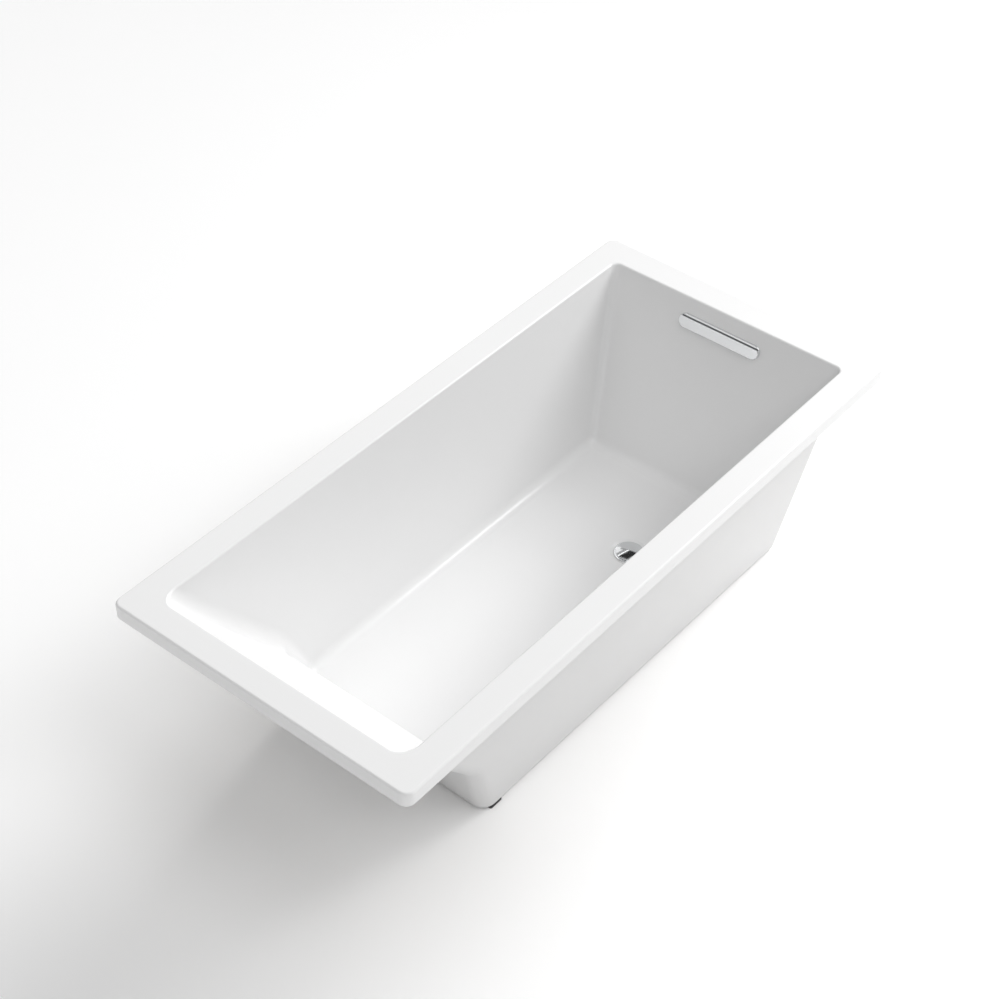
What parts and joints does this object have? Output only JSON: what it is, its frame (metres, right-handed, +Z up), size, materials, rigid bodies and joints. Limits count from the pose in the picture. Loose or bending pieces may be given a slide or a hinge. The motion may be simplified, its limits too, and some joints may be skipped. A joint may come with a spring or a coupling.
{
  "type": "drop-in bathtub",
  "caption": "Rectangular white acrylic drop-in bath with a flat rim, sloped backrest, slotted overflow, press-to-open waste and adjustable feet.",
  "frame": {"origin": "on the floor, under the middle of the rim", "axes": "+X to the drain end along the length, +Y across to the left side seen from the backrest, +Z up"},
  "size_m": [1.7, 0.8, 0.515],
  "materials": {
    "acrylic": "high gloss white acrylic",
    "shell_coat": "smooth white gelcoat",
    "plywood": "sealed plywood",
    "timber": "planed softwood",
    "zinc_steel": "zinc plated",
    "pad_rubber": "matte black",
    "chrome": "polished chrome plate",
    "brass": "turned brass",
    "spring_steel": "bright wire",
    "seal_rubber": "matte black",
    "putty": "soft grey putty",
    "pipe_plastic": "moulded white",
    "nut_plastic": "moulded white"
  },
  "bodies": {
    "bath": {"bath_liner": "acrylic", "backing_shell": "shell_coat", "base_board": "plywood", "rim_batten_left": "timber", "rim_batten_right": "timber", "rim_batten_near": "timber", "rim_batten_far": "timber", "foot_sockets": "zinc_steel", "foot_lock_nuts": "zinc_steel", "foot_socket_screws": "zinc_steel", "drain_flange": "chrome", "overflow_trim": "chrome", "overflow_face_plate": "chrome", "overflow_screws": "chrome", "stopper_post": "brass", "stopper_spring": "spring_steel", "drain_gasket": "seal_rubber", "shoe_slip_washer": "seal_rubber", "tee_inlet_washer": "seal_rubber", "tee_branch_washer": "seal_rubber", "overflow_gasket": "seal_rubber", "drain_putty_ring": "putty", "drain_shoe": "pipe_plastic", "waste_pipe": "pipe_plastic", "waste_tee": "pipe_plastic", "overflow_pipe": "pipe_plastic", "overflow_body": "pipe_plastic", "shoe_slip_nut": "nut_plastic", "tee_inlet_nut": "nut_plastic", "tee_branch_nut": "nut_plastic"},
    "stopper": {"stopper_cap": "chrome", "stopper_seal": "seal_rubber", "stopper_sleeve": "brass"},
    "foot_near_left": {"foot_pad_near_left": "pad_rubber", "foot_stud_near_left": "zinc_steel"},
    "foot_near_right": {"foot_pad_near_right": "pad_rubber", "foot_stud_near_right": "zinc_steel"},
    "foot_far_left": {"foot_pad_far_left": "pad_rubber", "foot_stud_far_left": "zinc_steel"},
    "foot_far_right": {"foot_pad_far_right": "pad_rubber", "foot_stud_far_right": "zinc_steel"}
  },
  "joints": [
    {"name": "stopper_press", "type": "slide", "parent": "bath", "child": "stopper", "axis": [0, 0, 1], "range_m": [0, 0.008]},
    {"name": "foot_screw_near_left", "type": "slide", "parent": "bath", "child": "foot_near_left", "axis": [0, 0, -1], "range_m": [0, 0.015]},
    {"name": "foot_screw_near_right", "type": "slide", "parent": "bath", "child": "foot_near_right", "axis": [0, 0, -1], "range_m": [0, 0.015]},
    {"name": "foot_screw_far_left", "type": "slide", "parent": "bath", "child": "foot_far_left", "axis": [0, 0, -1], "range_m": [0, 0.015]},
    {"name": "foot_screw_far_right", "type": "slide", "parent": "bath", "child": "foot_far_right", "axis": [0, 0, -1], "range_m": [0, 0.015]}
  ]
}
